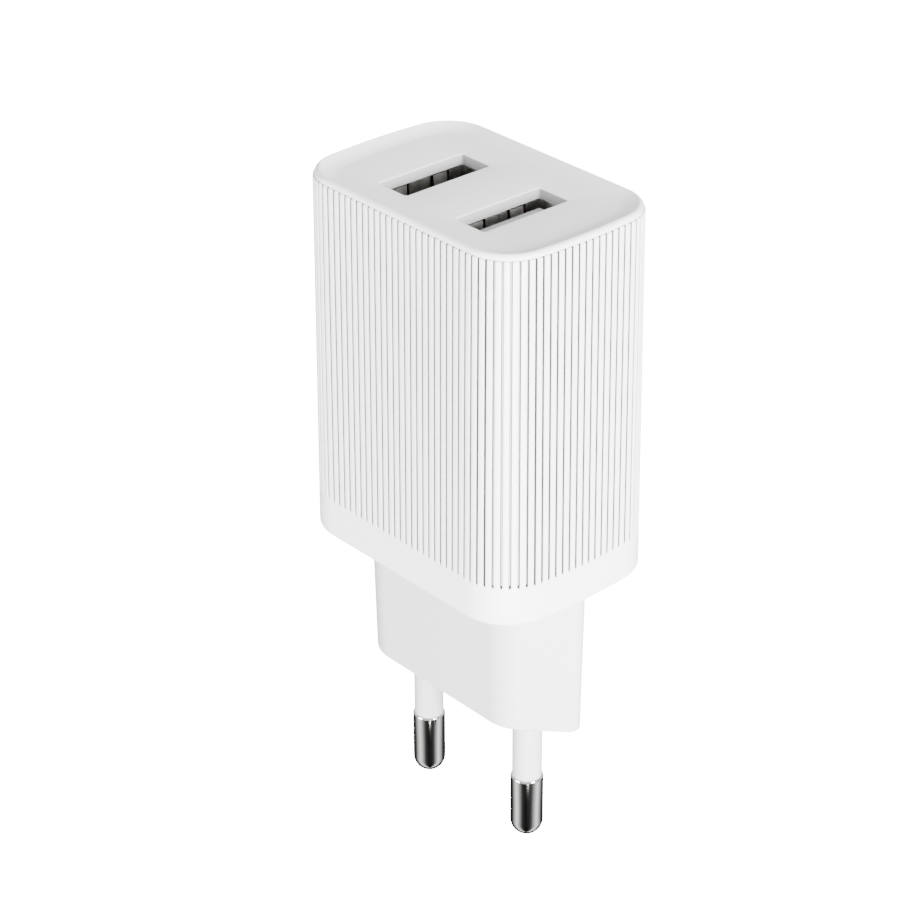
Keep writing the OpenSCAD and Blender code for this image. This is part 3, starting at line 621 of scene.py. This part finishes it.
def reflector_surface(radius, top, bottom):
    """P(a, k) = a drum of the given radius round the upright axis, closed by a disc at its foot."""
    a = np.linspace(0, 2 * np.pi, 129)
    rows = [(radius, top), (radius, bottom), (0.0, bottom)]
    return np.array([np.column_stack([r * np.cos(a), r * np.sin(a), np.full(len(a), z)]) for r, z in rows])


# The drum is dark in front and behind with a soft bright band at each side,
# and only the polished metal and the sheen of the plastic see it.
drum = solid_from_grids("reflector_drum", [reflector_surface(drum_radius, drum_top_z, drum_foot_z)], 30)
drum_mat = bpy.data.materials.new("reflector_drum")
drum_mat.use_nodes = True
drum_nodes, drum_links = drum_mat.node_tree.nodes, drum_mat.node_tree.links
drum_nodes.remove(drum_nodes["Principled BSDF"])
drum_coords = drum_nodes.new("ShaderNodeTexCoord")
drum_turn = drum_nodes.new("ShaderNodeMapping")
drum_turn.inputs["Rotation"].default_value = (0, 0, np.pi / 2 - float(camera_azimuth))
drum_links.new(drum_coords.outputs["Object"], drum_turn.inputs["Vector"])
drum_angle = drum_nodes.new("ShaderNodeTexGradient")
drum_angle.gradient_type = "RADIAL"
drum_links.new(drum_turn.outputs["Vector"], drum_angle.inputs["Vector"])
drum_ramp = drum_nodes.new("ShaderNodeValToRGB")
drum_ramp.color_ramp.interpolation = "LINEAR"
stops = [(0, 0.004), (18, 0.012), (32, 0.05), (47, 0.25), (60, 0.65), (72, 1.0), (90, 0.42), (110, 0.07),
         (130, 0.01), (180, 0.004)]
ramp_stops = [(0.5 - angle / 360, glow) for angle, glow in stops[1:]]
ramp_stops += [(0.5 + angle / 360, glow) for angle, glow in stops]
ramp_stops.sort()
elements = drum_ramp.color_ramp.elements
while len(elements) > 1:
    elements.remove(elements[0])
elements[0].position = ramp_stops[0][0]
elements[0].color = (ramp_stops[0][1],) * 3 + (1,)
for position, glow in ramp_stops[1:]:
    element = elements.new(position)
    element.color = (glow,) * 3 + (1,)
drum_links.new(drum_angle.outputs["Fac"], drum_ramp.inputs["Fac"])
drum_glow = drum_nodes.new("ShaderNodeEmission")
drum_glow.inputs["Strength"].default_value = drum_strength
drum_links.new(drum_ramp.outputs["Color"], drum_glow.inputs["Color"])
drum_links.new(drum_glow.outputs["Emission"], drum_nodes["Material Output"].inputs["Surface"])
drum.data.materials.append(drum_mat)
drum.visible_camera = drum.visible_diffuse = drum.visible_shadow = False

camera_data = bpy.data.cameras.new("camera")
camera_data.lens, camera_data.sensor_width = camera_lens, 36
camera_data.clip_start = 0.01
camera = bpy.data.objects.new("camera", camera_data)
camera.matrix_world = Matrix([[*p] for p in np.vstack([np.column_stack(
    [right_r, up_r, sight, target + sight * camera_distance]), [0, 0, 0, 1]])])
bpy.context.scene.collection.objects.link(camera)
bpy.context.scene.camera = camera

# Each light's name, power in watts, size and place.
lights = (("key", 34, 0.14, right * 0.08 + toward_camera * 0.80 + np.array([0, 0, -0.25])),
          ("side", 36, 0.3, right * 0.58 + toward_camera * 0.65 + np.array([0, 0, 0.30])),
          ("fill", 10, 0.4, -right * 0.7 + toward_camera * 0.35 + np.array([0, 0, 0.05])))
for name, energy, size, place in lights:
    light_data = bpy.data.lights.new(name, "AREA")
    light_data.energy, light_data.size = energy, size
    light = bpy.data.objects.new(name, light_data)
    back = place - np.array([0, 0, light_aim_z])
    back /= np.linalg.norm(back)
    across = np.cross((0, 0, 1), back)
    across /= np.linalg.norm(across)
    light.matrix_world = Matrix([[*p] for p in np.vstack([np.column_stack(
        [across, np.cross(back, across), back, place]), [0, 0, 0, 1]])])
    bpy.context.scene.collection.objects.link(light)

world = bpy.data.worlds.new("world")
bpy.context.scene.world = world
world.use_nodes = True
sky_nodes, sky_links = world.node_tree.nodes, world.node_tree.links
sky_nodes["Background"].inputs["Color"].default_value = (1, 1, 1, 1)
sky_coords = sky_nodes.new("ShaderNodeTexCoord")
sky_split = sky_nodes.new("ShaderNodeSeparateXYZ")
sky_links.new(sky_coords.outputs["Generated"], sky_split.inputs["Vector"])
sky_level = sky_nodes.new("ShaderNodeMapRange")
for socket, value in (("From Min", -0.35), ("From Max", 0.35), ("To Min", 0.7), ("To Max", 1.35)):
    sky_level.inputs[socket].default_value = value
sky_links.new(sky_split.outputs["Z"], sky_level.inputs["Value"])
sky_links.new(sky_level.outputs["Result"], sky_nodes["Background"].inputs["Strength"])
